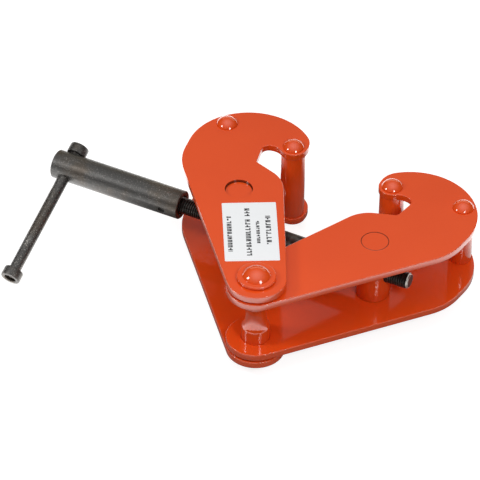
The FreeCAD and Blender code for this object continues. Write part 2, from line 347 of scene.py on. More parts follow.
class Finish:
    """A material or the world in the making: every node of its tree comes from add."""

    def __init__(self, block):
        block.use_nodes = True
        self.block = block
        self.tree = block.node_tree
        self.tree.nodes.clear()

    def add(self, kind, settings=None, sockets=None, output=0):
        """Adds a node with its settings, then its sockets' values or links."""
        node = self.tree.nodes.new(kind)
        for key, value in (settings or {}).items():
            setattr(node, key, value)
        for key, value in (sockets or {}).items():
            if isinstance(value, Value):
                self.tree.links.new(value.socket, node.inputs[key])
            else:
                node.inputs[key].default_value = value
        return Value(self, node.outputs[output]) if len(node.outputs) else None

    def place(self):
        """Position on the piece, in metres."""
        return self.add("ShaderNodeTexCoord", output="Object")

    def noise(self, place, scale, detail=2.0, roughness=0.5):
        """Soft random value from 0 to 1."""
        return self.add(
            "ShaderNodeTexNoise",
            {"noise_dimensions": "3D"},
            {"Vector": place, "Scale": scale, "Detail": detail, "Roughness": roughness},
        )

    def chance(self, number):
        """Random value from 0 to 1 that belongs to a number."""
        return self.add("ShaderNodeTexWhiteNoise", {"noise_dimensions": "1D"}, {"W": number})

    def stretched(self, place, scale):
        """Position scaled by a different amount along each axis."""
        settings = {"vector_type": "POINT"}
        return self.add("ShaderNodeMapping", settings, {"Vector": place, "Scale": scale})

    def cells(self, place, scale):
        """Distance from the nearest of many scattered points."""
        return self.add(
            "ShaderNodeTexVoronoi",
            {"feature": "F1", "distance": "EUCLIDEAN"},
            {"Vector": place, "Scale": scale},
            "Distance",
        )

    def ramp(self, value, start, end):
        """0 below start, 1 above end and a smooth step between. Start may be the higher one."""
        return self.add(
            "ShaderNodeMapRange",
            {"interpolation_type": "SMOOTHSTEP", "clamp": True},
            {"Value": value, "From Min": start, "From Max": end, "To Min": 0.0, "To Max": 1.0},
        )

    def mix(self, factor, first, second):
        """Mix of two colours, each a colour or an output."""
        return self.add(
            "ShaderNodeMix",
            {"data_type": "RGBA", "blend_type": "MIX", "clamp_factor": True},
            {0: factor, 6: rgba(first), 7: rgba(second)},
            2,
        )

    def parts(self, vector):
        """X, Y and Z of a vector."""
        node = self.add("ShaderNodeSeparateXYZ", sockets={"Vector": vector}).socket.node
        return [Value(self, socket) for socket in node.outputs]

    def bump(self, height, depth):
        """Normal of a surface raised by height times depth."""
        sockets = {"Strength": 1.0, "Distance": depth, "Height": height}
        return self.add("ShaderNodeBump", sockets=sockets)

    def surface(self, **sockets):
        """Closes the tree with a Principled shader. Names have _ for a space."""
        named = {key.replace("_", " "): value for key, value in sockets.items()}
        named["Base Color"] = rgba(named["Base Color"])
        shader = self.add("ShaderNodeBsdfPrincipled", sockets=named)
        self.add("ShaderNodeOutputMaterial", sockets={"Surface": shader})
        return self.block


def rgba(colour):
    """A colour with its alpha, or an output as it is."""
    return colour if isinstance(colour, Value) else (*colour, 1.0)


def finish_named(name, make):
    """The material of that name, made the first time it is asked for."""
    return bpy.data.materials.get(name) or make(name)


PAINT_IOR = 1.65
WALL_FADE = 0.5 * MM  # painted shade on a hole's wall ends within this distance of it
RIM_START, RIM_END = 0.75 * MM, 0.3 * MM  # where painted shade begins and is full, inside a trunnion's edge
RUB_START, RUB_END = 0.45 * MM, 0.05 * MM  # where wear begins and is full, under a thread's crest
PEEL_DEPTH = 0.014 * MM
OXIDE_DEPTH = 0.03 * MM
THREAD_DEPTH = 0.02 * MM
FILM_DEPTH = 0.03 * MM


def from_trunnions(finish, place, start, stop):
    """0 nearer than start to either trunnion's axis, 1 farther than stop from both."""
    x, y, _ = finish.parts(place)
    band = 1.0
    for side in SIDES:
        centre = box_centre(f"{side}_trunnion")
        away_x, away_y = x - centre.x, y - centre.y
        band = finish.ramp(away_x * away_x + away_y * away_y, start**2, stop**2) * band
    return band


def worn_and_shaded_plate(finish, place, upright, colour):
    """A plate's paint: thin and chipped at the edges, with painted shade on the walls of the trunnion's
    hole.
    """
    paint = bpy.context.scene.clamp_paint
    edge = finish.ramp(upright, 0.15, 0.45) * finish.ramp(upright, 0.985, 0.9)
    thin = edge * finish.ramp(finish.noise(place, scale=160, detail=3), 0.42, 0.62)
    colour = finish.mix(thin * 0.3, colour, paint.thin_colour)
    chip = edge * finish.ramp(finish.noise(place, scale=230, detail=2, roughness=0.6), 0.72, 0.76)
    colour = finish.mix(chip, colour, paint.chip_colour)
    reach = bpy.context.scene.clamp_fasteners.trunnion_reach
    inside = 1.0 - from_trunnions(finish, place, reach - WALL_FADE, reach)
    # Painted shade: the upright walls of the hole round a trunnion are darkened, as shade falls in the gap
    wall = inside * finish.ramp(upright, 0.6, 0.3)
    return finish.mix(wall * 0.8, colour, paint.gap_shade_colour)


def shaded_trunnion(finish, place, upright, colour):
    """A trunnion's paint, with painted shade round the edge of its ends."""
    radius = bpy.context.scene.clamp_fasteners.journal_radius
    # Painted shade: a dark ring just inside the edge of each trunnion's end, where the gap to the plate
    # lies in shade
    rim = from_trunnions(finish, place, radius - RIM_START, radius - RIM_END)
    level = finish.ramp(upright, 0.3, 0.6)
    return finish.mix(rim * level * 0.8, colour, bpy.context.scene.clamp_paint.gap_shade_colour)


def enamel(name, marked=None):
    """Gloss enamel with orange peel, dust nibs and the marks that a function adds."""
    paint = bpy.context.scene.clamp_paint
    finish = Finish(bpy.data.materials.new(name))
    place = finish.place()
    drift = finish.ramp(finish.noise(place, scale=14, detail=2), 0.35, 0.75)
    mottle = finish.noise(place, scale=330, detail=3, roughness=0.6)
    colour = finish.mix(drift * 0.22 + mottle * 0.16, paint.colour, paint.thick_colour)
    if marked:
        facing = finish.add("ShaderNodeTexCoord", output="Normal")
        upright = abs(finish.parts(facing)[2])
        colour = marked(finish, place, upright, colour)
    nib = finish.ramp(finish.cells(place, scale=120), 0.075, 0.03)
    peel = finish.noise(place, scale=380, detail=1.5)
    ripple = finish.noise(place, scale=95, detail=1)
    smear = finish.noise(place, scale=60, detail=4, roughness=0.6)
    return finish.surface(
        Base_Color=colour,
        Roughness=paint.roughness + smear * 0.05,
        IOR=PAINT_IOR,
        Normal=finish.bump(peel + ripple * 1.6 + nib * 1.5, PEEL_DEPTH),
    )


def plate_enamel():
    """Enamel for the plates."""
    return finish_named("plate_enamel", lambda name: enamel(name, worn_and_shaded_plate))


def trunnion_enamel():
    """Enamel for the trunnions."""
    return finish_named("trunnion_enamel", lambda name: enamel(name, shaded_trunnion))


def turned_enamel():
    """Enamel for the other round parts."""
    return finish_named("turned_enamel", enamel)


def oxide(name, specks, wear, grain):
    """Black oxide on steel, mottled, with a brown bloom, light specks and fine scratches."""
    steel = bpy.context.scene.clamp_steel
    finish = Finish(bpy.data.materials.new(name))
    place = finish.place()
    lengthways = finish.stretched(place, grain)
    bloom = finish.ramp(finish.noise(place, scale=38, detail=4, roughness=0.6), 0.42, 0.68)
    mottle = finish.noise(place, scale=420, detail=5, roughness=0.7)
    colour = finish.mix(bloom * 0.75, steel.oxide_colour, steel.brown_colour)
    colour = finish.mix(mottle * 0.55, colour, steel.dark_colour)
    patch = finish.ramp(finish.noise(lengthways, scale=55, detail=3, roughness=0.6), 0.52, 0.72)
    speck = finish.ramp(finish.noise(place, scale=1000, detail=2, roughness=0.6), 0.56, 0.68)
    scratch = finish.ramp(finish.noise(lengthways, scale=900, detail=2), 0.66, 0.74)
    worn = speck * (patch * wear + specks) + scratch * patch * 0.35 * wear + patch * 0.12 * wear
    colour = finish.mix(worn, colour, steel.worn_colour)
    return finish.surface(
        Base_Color=colour,
        Metallic=0.7 + worn * 0.2,
        Roughness=steel.roughness + mottle * 0.22 - worn * 0.08,
        Normal=finish.bump(mottle + speck * 0.6 - scratch * 0.5, OXIDE_DEPTH),
    )


def handle_oxide():
    """Oxide on the tube and the knobs."""
    grain = (0.25, 1, 1)
    return finish_named("handle_oxide", lambda name: oxide(name, specks=0.18, wear=0.7, grain=grain))


def bar_oxide():
    """Oxide on the tommy bar, more worn by hands."""
    grain = (1, 0.3, 0.5)
    return finish_named("bar_oxide", lambda name: oxide(name, specks=0.5, wear=1.8, grain=grain))


def thread_steel(name):
    """Blackened spindle steel, with worn crests and a bare ring round the free end."""
    steel = bpy.context.scene.clamp_steel
    sizes = bpy.context.scene.clamp_spindle
    finish = Finish(bpy.data.materials.new(name))
    place = finish.place()
    x, y, z = finish.parts(place)
    across = y - SPINDLE_AXIS.y
    radius = (across * across + z * z).root()
    crest = finish.ramp(radius, sizes.radius - RUB_START, sizes.radius - RUB_END)
    smudge = finish.noise(place, scale=140, detail=4, roughness=0.65)
    rub = crest * finish.ramp(smudge, 0.4, 0.7)
    chamfer = sizes.end_chamfer
    end = finish.ramp(x, SPINDLE_END_X - chamfer * 1.1, SPINDLE_END_X - chamfer * 0.9)
    rim = end * finish.ramp(radius, sizes.radius - chamfer * 1.3, sizes.radius - chamfer)
    colour = finish.mix(smudge * 0.8, steel.thread_colour, steel.smudge_colour)
    colour = finish.mix(rub * 0.55, colour, steel.crest_colour)
    colour = finish.mix(rim * 0.7, colour, steel.worn_colour)
    pitting = finish.noise(place, scale=800, detail=3, roughness=0.6)
    return finish.surface(
        Base_Color=colour,
        Metallic=0.75,
        Roughness=0.34 + smudge * 0.2 - rub * 0.08,
        Normal=finish.bump(pitting, THREAD_DEPTH),
    )


def spindle_steel():
    """Steel of the spindle."""
    return finish_named("spindle_steel", thread_steel)


def merged_copy(node):
    """The mesh of a CAD node with its points joined and its flat faces whole."""
    bm = bmesh.new()
    bm.from_mesh(frame["nodes"][node].data)
    bmesh.ops.remove_doubles(bm, verts=bm.verts, dist=MERGE_DISTANCE)
    bmesh.ops.dissolve_limit(
        bm, angle_limit=COPLANAR, verts=bm.verts, edges=bm.edges, use_dissolve_boundaries=False
    )
    return bm


def round_edges(bm, radius, segments=3, angle=SHARP, where=None):
    """Rounds the edges that are sharper than an angle."""
    edges = [
        edge
        for edge in bm.edges
        if len(edge.link_faces) == 2
        and edge.calc_face_angle(0.0) > angle
        and (where is None or where(edge))
    ]
    bmesh.ops.bevel(
        bm,
        geom=edges,
        offset=radius,
        offset_type="OFFSET",
        segments=segments,
        profile=0.5,
        affect="EDGES",
        clamp_overlap=False,
        loop_slide=False,
        material=-1,
    )


def away_from(edge, centre, reach):
    """Is this edge farther than reach from an upright axis?"""
    middle = (edge.verts[0].co + edge.verts[1].co) / 2
    return (middle.xy - centre).length > reach


def far_out(edge, radius):
    """Is this edge on the outside of a part turned about Z?"""
    return away_from(edge, Vector((0, 0)), radius * OUTER_SHARE)


def turned(profile, closed=False, steps=TURN_STEPS):
    """Solid of revolution about Z, from points given as (radius, height)."""
    bm = bmesh.new()
    verts = [bm.verts.new((radius, 0, height)) for radius, height in profile]
    edges = [bm.edges.new(pair) for pair in zip(verts, verts[1:])]
    if closed:
        edges.append(bm.edges.new((verts[-1], verts[0])))
    bmesh.ops.spin(
        bm,
        geom=verts + edges,
        cent=(0, 0, 0),
        axis=UP,
        dvec=(0, 0, 0),
        angle=math.tau,
        steps=steps,
        use_merge=True,
    )
    bmesh.ops.remove_doubles(bm, verts=bm.verts, dist=MERGE_DISTANCE)
    bmesh.ops.recalc_face_normals(bm, faces=bm.faces)
    return bm


def sleeve(bore, outer, low, high):
    """A tube about Z."""
    return turned([(bore, low), (outer, low), (outer, high), (bore, high)], closed=True)


def dome(radius, height, base):
    """Points of a shallow dome, from its rim to its top."""
    ball = (radius**2 + height**2) / (2 * height)
    half = math.asin(radius / ball)
    angles = [half * (1 - step / DOME_STEPS) for step in range(DOME_STEPS + 1)]
    return [
        (ball * math.sin(angle), base + height - ball * (1 - math.cos(angle)))
        for angle in angles
    ]


def mirrored_down(points):
    """The same half-section below Z = 0, from the bottom up."""
    return [(radius, -height) for radius, height in reversed(points)]


def rod(start, end, radius, chamfer):
    """Half-section of a rod with a chamfer at both ends."""
    return [
        (0, start),
        (radius - chamfer, start),
        (radius, start + chamfer),
        (radius, end - chamfer),
        (radius - chamfer, end),
        (0, end),
    ]


def put(bm, matrix):
    """Moves a whole bmesh."""
    bmesh.ops.transform(bm, matrix=matrix, verts=bm.verts)


def add_to_scene(name, data):
    """Puts a new object in the scene."""
    item = bpy.data.objects.new(name, data)
    bpy.context.scene.collection.objects.link(item)
    return item


def make_piece(bm, name, node, material, axis=UP):
    """Turns a bmesh into the piece that stands for a CAD node and moves with its body."""
    mesh = bpy.data.meshes.new(name)
    bm.to_mesh(mesh)
    bm.free()
    imported = mesh.attributes.get("custom_normal")
    if imported:
        mesh.attributes.remove(imported)
    mesh.set_sharp_from_angle(angle=SHARP)
    for face in mesh.polygons:
        face.use_smooth = abs(face.normal.dot(axis)) < FLAT_LIMIT
    mesh.materials.append(material)
    piece = add_to_scene(name, mesh)
    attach(piece, BODY_OF[node])
    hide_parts(node)
    return piece


class BuildOperator(bpy.types.Operator):
    """Shared by every build step: it undoes as one step."""

    bl_options = {"REGISTER", "UNDO"}


class BEAMCLAMP_OT_jaw_plates(BuildOperator):
    """Makes the four jaw plates with edges rounded by paint"""

    bl_idname = "beam_clamp.jaw_plates"
    bl_label = "Jaw plates"

    def execute(self, context):
        radius = context.scene.clamp_paint.edge_radius
        reach = context.scene.clamp_fasteners.trunnion_reach
        for side in SIDES:
            journal = box_centre(f"{side}_trunnion").xy
            for layer in LAYERS:
                node = f"{side}_jaw_{layer}_plate"
                bm = merged_copy(node)
                round_edges(bm, radius, segments=4, where=lambda edge: away_from(edge, journal, reach))
                name = f"{side}_{layer}_plate_painted"
                make_piece(bm, name, node, plate_enamel())
        return {"FINISHED"}


class BEAMCLAMP_OT_suspension_pin(BuildOperator):
    """Makes the waisted suspension pin with its peened heads"""

    bl_idname = "beam_clamp.suspension_pin"
    bl_label = "Suspension pin"

    def execute(self, context):
        sizes = context.scene.clamp_pin
        radius = box_size("suspension_pin").x / 2
        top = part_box("suspension_pin")[1].z
        shoulder, seat = (corner.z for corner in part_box("pivot_top_washer"))
        rise = radius - sizes.neck_radius
        ball = (rise**2 + sizes.waist_half**2) / (2 * rise)
        levels = [sizes.waist_half * step / WAIST_STEPS for step in range(WAIST_STEPS + 1)]
        waist = [
            (sizes.neck_radius + ball - math.sqrt(ball**2 - level**2), level) for level in levels
        ]
        upper = [
            *waist,
            (radius, sizes.waist_half + CREASE),
            (radius, shoulder - CREASE),
            (radius, shoulder),
            (sizes.spigot_radius, shoulder),
            (sizes.spigot_radius, seat),
            (sizes.head_radius, seat),
            *dome(sizes.head_radius, top - seat - sizes.head_skirt, seat + sizes.head_skirt),
        ]
        bm = turned([*mirrored_down(upper)[:-1], *upper])
        make_piece(bm, "pin_painted", "suspension_pin", turned_enamel())
        return {"FINISHED"}


class BEAMCLAMP_OT_pivot_rings(BuildOperator):
    """Makes the washers under the pin's heads and the thin rings between the plates"""

    bl_idname = "beam_clamp.pivot_rings"
    bl_label = "Washers and rings"

    def execute(self, context):
        sizes = context.scene.clamp_pin
        pin_radius = box_size("suspension_pin").x / 2
        for layer in LAYERS:
            for kind, bore, rounding in (
                ("washer", sizes.spigot_radius, sizes.washer_rounding),
                ("ring", pin_radius, sizes.ring_rounding),
            ):
                node = f"pivot_{layer}_{kind}"
                low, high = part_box(node)
                outer = (high.x - low.x) / 2
                bm = sleeve(bore, outer, low.z, high.z)
                round_edges(bm, rounding, segments=5, where=lambda edge: far_out(edge, outer))
                make_piece(bm, f"{layer}_{kind}_painted", node, turned_enamel())
        return {"FINISHED"}


class BEAMCLAMP_OT_rivets(BuildOperator):
    """Makes the four rivets with a dome at each end"""

    bl_idname = "beam_clamp.rivets"
    bl_label = "Rivets"

    def execute(self, context):
        sizes = context.scene.clamp_fasteners
        for side in SIDES:
            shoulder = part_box(f"{side}_jaw_top_plate")[1].z
            for place in ("tip", "back"):
                node = f"{side}_{place}_rivet"
                radius = box_size(node).x / 2
                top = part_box(node)[1].z
                base = shoulder + sizes.head_skirt
                upper = [
                    (sizes.rivet_radius, 0),
                    (sizes.rivet_radius, shoulder),
                    (radius - sizes.head_undercut, shoulder),
                    *dome(radius, top - base, base),
                ]
                bm = turned([*mirrored_down(upper)[:-1], *upper])
                put(bm, Matrix.Translation(box_centre(node).xy.to_3d()))
                name = f"{side}_{place}_rivet_painted"
                make_piece(bm, name, node, turned_enamel())
        return {"FINISHED"}


class BEAMCLAMP_OT_sleeves(BuildOperator):
    """Makes the sleeves that hold each pair of plates apart"""

    bl_idname = "beam_clamp.sleeves"
    bl_label = "Tip bars and back spacers"

    def execute(self, context):
        sizes = context.scene.clamp_fasteners
        for side in SIDES:
            for kind in ("tip_bar", "back_spacer"):
                node = f"{side}_{kind}"
                outer = box_size(node).x / 2
                low, high = (corner.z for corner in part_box(node))
                bm = sleeve(sizes.rivet_radius, outer, low, high)
                round_edges(bm, sizes.sleeve_rounding, where=lambda edge: far_out(edge, outer))
                put(bm, Matrix.Translation(box_centre(node).xy.to_3d()))
                make_piece(bm, f"{side}_{kind}_painted", node, turned_enamel())
        return {"FINISHED"}


class BEAMCLAMP_OT_trunnions(BuildOperator):
    """Makes the trunnion nuts, with the mouths of their holes rounded"""

    bl_idname = "beam_clamp.trunnions"
    bl_label = "Trunnion nuts"

    def execute(self, context):
        sizes = context.scene.clamp_fasteners
        for side in SIDES:
            bm = merged_copy(f"{side}_trunnion")
            round_edges(bm, sizes.trunnion_rounding)
            name = f"{side}_trunnion_painted"
            make_piece(bm, name, f"{side}_trunnion", trunnion_enamel())
        return {"FINISHED"}


def lying_along_x(x=0.0):
    """Turns a part made about Z to lie on the spindle's axis, from x onwards."""
    return Matrix.Translation((x, SPINDLE_AXIS.y, SPINDLE_AXIS.z)) @ Matrix.Rotation(
        math.pi / 2, 4, "Y"
    )


# Where along one pitch the thread's root ends, its crest begins and its crest ends.
ROOT_END, CREST_START, CREST_END = 0.25, 0.56, 0.69
THREAD_MERGE = 0.01 * MM


def thread(sizes, length, hand):
    """Closed length of screw thread about Z from 0, right-handed when hand is 1."""
    crest, root, pitch = sizes.radius, sizes.radius - sizes.depth, sizes.pitch
    section = [(root, 0), (root, ROOT_END), (crest, CREST_START), (crest, CREST_END), (root, 1)]
    bm = bmesh.new()
    verts = [bm.verts.new((radius, 0, (part - 1) * pitch)) for radius, part in section]
    edges = [bm.edges.new(pair) for pair in zip(verts, verts[1:])]
    turns = math.ceil(length / pitch) + 2
    bmesh.ops.spin(
        bm,
        geom=verts + edges,
        cent=(0, 0, 0),
        axis=UP,
        dvec=UP * (pitch / sizes.steps_per_turn),
        angle=math.tau * turns * hand,
        steps=sizes.steps_per_turn * turns,
        use_merge=False,
    )
    bmesh.ops.remove_doubles(bm, verts=bm.verts, dist=THREAD_MERGE)
    for level, outward in ((0, -1), (length, 1)):
        bmesh.ops.bisect_plane(
            bm,
            geom=bm.verts[:] + bm.edges[:] + bm.faces[:],
            dist=MERGE_DISTANCE,
            plane_co=(0, 0, level),
            plane_no=(0, 0, outward),
            clear_outer=True,
        )
    bmesh.ops.holes_fill(bm, edges=[edge for edge in bm.edges if edge.is_boundary], sides=0)
    bmesh.ops.recalc_face_normals(bm, faces=bm.faces)
    return bm


def taper_end(bm, level, radius, outward):
    """Cuts the crests back to a 45 degree chamfer that ends at a radius."""
    for vert in bm.verts:
        room = radius + max(0.0, (level - vert.co.z) * outward)
        reach = vert.co.xy.length
        if reach > room:
            vert.co.xy *= room / reach


def join(bm, other):
    """Adds another bmesh to this one."""
    mesh = bpy.data.meshes.new("join")
    other.to_mesh(mesh)
    other.free()
    bm.from_mesh(mesh)
    bpy.data.meshes.remove(mesh)


class BEAMCLAMP_OT_spindle(BuildOperator):
    """Makes the spindle: two threads of opposite hand, a plain middle and the pinned shank"""

    bl_idname = "beam_clamp.spindle"
    bl_label = "Spindle"

    def execute(self, context):
        sizes = context.scene.clamp_spindle
        shank_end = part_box("handle_tube")[1].x - sizes.shank_depth
        plain = sizes.plain_half
        root = sizes.radius - sizes.depth

        right_length = SPINDLE_END_X - plain
        bm = thread(sizes, right_length, 1)
        taper_end(bm, right_length, sizes.radius - sizes.end_chamfer, 1)
        taper_end(bm, 0, root, -1)
        put(bm, lying_along_x(plain))

        left_start = shank_end - sizes.overlap
        left = thread(sizes, -plain - left_start, -1)
        taper_end(left, -plain - left_start, root, 1)
        put(left, lying_along_x(left_start))
        join(bm, left)

        slope = sizes.depth
        middle = turned(rod(-plain - slope, plain + slope, sizes.radius, slope))
        put(middle, lying_along_x())
        join(bm, middle)

        shank = turned(rod(SHANK_START_X, shank_end, SHANK_RADIUS, sizes.shank_chamfer))
        put(shank, lying_along_x())
        join(bm, shank)
        make_piece(bm, "spindle_threaded", "spindle", spindle_steel(), ALONG)
        return {"FINISHED"}


class BEAMCLAMP_OT_handle_tube(BuildOperator):
    """Makes the handle tube with its cross holes, and the bush in its mouth"""

    bl_idname = "beam_clamp.handle_tube"
    bl_label = "Handle tube"

    def execute(self, context):
        sizes = context.scene.clamp_handle
        bm = merged_copy("handle_tube")
        round_edges(bm, sizes.tube_rounding, segments=2, angle=TUBE_SHARP)
        make_piece(bm, "tube_blackened", "handle_tube", handle_oxide(), ALONG)

        low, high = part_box("spindle_bush")
        outer = (high.z - low.z) / 2
        bore = context.scene.clamp_spindle.radius + sizes.bush_clearance
        bush = sleeve(bore, outer, low.x, high.x)
        round_edges(bush, sizes.bush_rounding)
        put(bush, lying_along_x())
        make_piece(bush, "bush_blackened", "spindle_bush", handle_oxide(), ALONG)
        return {"FINISHED"}


def leaning(x, tilt):
    """Turns a part made about Z to cross the spindle at x, with its +Z end down towards -Y."""
    return Matrix.Translation((x, SPINDLE_AXIS.y, SPINDLE_AXIS.z)) @ Matrix.Rotation(
        math.pi / 2 + tilt, 4, "X"
    )


class BEAMCLAMP_OT_cross_pin(BuildOperator):
    """Makes the pin that fixes the tube to the spindle, sunk a little at both ends"""

    bl_idname = "beam_clamp.cross_pin"
    bl_label = "Cross pin"

    def execute(self, context):
        sizes = context.scene.clamp_handle
        node = "handle_cross_pin"
        radius = sizes.pin_radius
        crown = sizes.pin_crown
        level = TUBE_RADIUS - sizes.pin_sink - crown
        upper = [(radius, 0), (radius, level), *dome(radius - sizes.pin_step, crown, level)]
        bm = turned([*mirrored_down(upper)[:-1], *upper], steps=PIN_STEPS)
        matrix = leaning(box_centre(node).x, sizes.pin_tilt)
        axis = matrix.to_3x3() @ UP
        put(bm, matrix)
        make_piece(bm, "cross_pin_blackened", node, handle_oxide(), axis)
        return {"FINISHED"}


def knob(sizes):
    """A knob about Z, with its open mouth upwards."""
    half, bore = sizes.knob_length / 2, sizes.bar_radius
    section = [
        (bore, -half),
        (sizes.knob_radius, -half),
        (sizes.knob_radius, half),
        (bore + sizes.bar_chamfer, half),
        (bore, half - sizes.bar_chamfer),
    ]
    bm = turned(section, closed=True, steps=KNOB_STEPS)
    rim = sizes.knob_radius
    round_edges(bm, sizes.knob_chamfer, segments=2, where=lambda edge: far_out(edge, rim))
    return bm


class BEAMCLAMP_OT_tommy_bar(BuildOperator):
    """Makes the sliding tommy bar and its two knobs"""

    bl_idname = "beam_clamp.tommy_bar"
    bl_label = "Tommy bar"

    def execute(self, context):
        sizes = context.scene.clamp_handle
        matrix = leaning(box_centre("tommy_bar").x, sizes.bar_tilt)
        axis = matrix.to_3x3() @ UP
        tips = []
        for end, outward in (("upper", -1), ("lower", 1)):
            node = f"tommy_bar_{end}_knob"
            middle = (box_centre(node) - matrix.translation).dot(axis)
            tips.append(middle + outward * (sizes.knob_length / 2 - sizes.bar_recess))
            bm = knob(sizes)
            if outward < 0:
                put(bm, Matrix.Rotation(math.pi, 4, "X"))
            put(bm, matrix @ Matrix.Translation((0, 0, middle)))
            make_piece(bm, f"{end}_knob_blackened", node, handle_oxide(), axis)
        bm = turned(rod(*tips, sizes.bar_radius, sizes.bar_chamfer), steps=BAR_STEPS)
        put(bm, matrix)
        make_piece(bm, "tommy_bar_blackened", "tommy_bar", bar_oxide(), axis)
        return {"FINISHED"}


# Rows of unreadable marks, in millimetres on the sticker: place across it, start and end along
# it, height of the marks and the distance from one to the next.
LABEL_ROWS = (
    (14.5, -16.0, 19.0, 4.4, 3.5),
    (6.0, -15.0, 16.0, 3.0, 2.8),
    (-2.0, -30.0, 29.0, 4.4, 3.45),
    (-17.0, -24.0, 19.0, 4.0, 3.3),
)
ROW_SEED = 17.3  # keeps the marks of one row unlike those of the next
CHANCE_SEEDS = (0.0, 0.21, 0.43, 0.67)  # first stroke, second stroke, bar, gap between words


def printed_marks(finish, x, y):
    """Ink on the sticker: marks of up to two strokes and a bar, as chance has it."""
    ink = 0.0
    for index, (across, start, stop, height, pitch) in enumerate(LABEL_ROWS):
        row = finish.ramp(abs(x - across), height / 2, height / 2 - 0.25)
        row = row * finish.ramp(y, start - 0.1, start + 0.1)
        row = row * finish.ramp(y, stop + 0.1, stop - 0.1)
        cell = y / pitch + index * ROW_SEED
        number = math.floor(cell)
        part = cell - number - 0.5
        chances = [finish.chance(number + seed) for seed in CHANCE_SEEDS]
        first = finish.ramp(abs(part + 0.22), 0.2, 0.14) * finish.ramp(chances[0], 0.1, 0.11)
        second = finish.ramp(abs(part - 0.22), 0.2, 0.14) * finish.ramp(chances[1], 0.4, 0.41)
        level = (chances[2] - 0.5) * height * 0.8
        bar = finish.ramp(abs(x - across - level), 0.75, 0.5)
        bar = bar * finish.ramp(abs(part), 0.38, 0.34)
        word = finish.ramp(chances[3], 0.09, 0.1)
        ink = ink + row * finish.ramp(first + second + bar, 0.0, 1.0) * word
    return ink


def printed_film(name):
    """White film with rows of short unreadable marks."""
    settings = bpy.context.scene.clamp_label
    finish = Finish(bpy.data.materials.new(name))
    place = finish.place()
    local = finish.add(
        "ShaderNodeMapping",
        {"vector_type": "TEXTURE"},
        {
            "Vector": place,
            "Location": box_centre("label"),
            "Rotation": (0, 0, settings.turn),
            "Scale": (MM, MM, MM),
        },
    )
    x, y, _ = finish.parts(local)
    ink = printed_marks(finish, x, y)
    fade = finish.noise(place, scale=900, detail=2)
    clouds = finish.noise(place, scale=60, detail=3)
    colour = finish.mix(clouds * 0.25, settings.film_colour, settings.shade_colour)
    colour = finish.mix(ink * (0.85 + fade * 0.3), colour, settings.ink_colour)
    return finish.surface(
        Base_Color=colour,
        Roughness=0.32 + finish.noise(place, scale=150, detail=3) * 0.12,
        Normal=finish.bump(finish.noise(place, scale=70, detail=2), FILM_DEPTH),
    )


class BEAMCLAMP_OT_label(BuildOperator):
    """Makes the sticker, a thin film with slightly rounded corners"""

    bl_idname = "beam_clamp.label"
    bl_label = "Label"

    def execute(self, context):
        settings = context.scene.clamp_label
        low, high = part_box("label")
        bm = bmesh.new()
        bmesh.ops.create_grid(bm, x_segments=1, y_segments=1, size=0.5)
        bmesh.ops.scale(bm, vec=(*settings.size, 1), verts=bm.verts)
        bmesh.ops.bevel(
            bm,
            geom=bm.verts[:],
            offset=settings.corner_radius,
            segments=3,
            profile=0.5,
            affect="VERTICES",
            material=-1,
        )
        grown = bmesh.ops.extrude_face_region(bm, geom=bm.faces[:])["geom"]
        top = [item for item in grown if isinstance(item, bmesh.types.BMVert)]
        bmesh.ops.translate(bm, vec=UP * (high.z - low.z), verts=top)
        bmesh.ops.recalc_face_normals(bm, faces=bm.faces)
        centre = (low + high) / 2
        put(bm, Matrix.Rotation(settings.turn, 4, "Z"))
        put(bm, Matrix.Translation((centre.x, centre.y, low.z)))
        film = finish_named("printed_film", printed_film)
        make_piece(bm, "label_printed", "label", film)
        return {"FINISHED"}


# In gloss the floor glows outside an oval round the clamp: its middle and its half-axes.
OVAL_MIDDLE_Y = 0.085
OVAL_X, OVAL_Y = 0.17, 0.15


def floor_finish(name):
    """Pale matt floor that glows, brighter to the camera and in gloss than as a light."""
    settings = bpy.context.scene.clamp_stage
    finish = Finish(bpy.data.materials.new(name))
    place = finish.place()
    clouds = finish.noise(place, scale=3, detail=2)
    colour = finish.mix(clouds * 0.1, settings.floor_colour, settings.shade_colour)
    matt = finish.add("ShaderNodeBsdfDiffuse", sockets={"Color": colour})
    glow = finish.add("ShaderNodeEmission", sockets={"Strength": settings.floor_glow})
    shown = finish.add("ShaderNodeAddShader", sockets={0: matt, 1: glow})

    x, y, _ = finish.parts(place)
    away_x, away_y = x / OVAL_X, (y - OVAL_MIDDLE_Y) / OVAL_Y
    ring = finish.ramp(away_x * away_x + away_y * away_y, 0.7, 1.7)
    in_gloss = finish.add("ShaderNodeLightPath", output="Is Glossy Ray")
    strength = ring * (in_gloss * settings.gloss_glow + settings.far_glow)
    paper = finish.add("ShaderNodeBsdfDiffuse", sockets={"Color": rgba(settings.paper_colour)})
    beyond = finish.add("ShaderNodeEmission", sockets={"Strength": strength})
    lighting = finish.add("ShaderNodeAddShader", sockets={0: paper, 1: beyond})

    seen = finish.add("ShaderNodeLightPath", output="Is Camera Ray")
    mixed = finish.add("ShaderNodeMixShader", sockets={0: seen, 1: lighting, 2: shown})
    finish.add("ShaderNodeOutputMaterial", sockets={"Surface": mixed})
    return finish.block


def room_light():
    """Soft light from the room, brightest overhead."""
    settings = bpy.context.scene.clamp_stage
    finish = Finish(bpy.data.worlds.new("room"))
    direction = finish.add("ShaderNodeTexCoord", output="Generated")
    height = finish.parts(direction)[2]
    overhead = height * height * height * height
    strength = overhead * settings.ceiling_light + settings.room_light
    light = finish.add("ShaderNodeBackground", sockets={"Strength": strength})
    finish.add("ShaderNodeOutputWorld", sockets={"Surface": light})
    return finish.block


def from_angles(azimuth, elevation):
    """Direction towards a place seen at an azimuth and an elevation, in degrees."""
    a, e = math.radians(azimuth), math.radians(elevation)
    return Vector((math.sin(a) * math.cos(e), -math.cos(a) * math.cos(e), math.sin(e)))


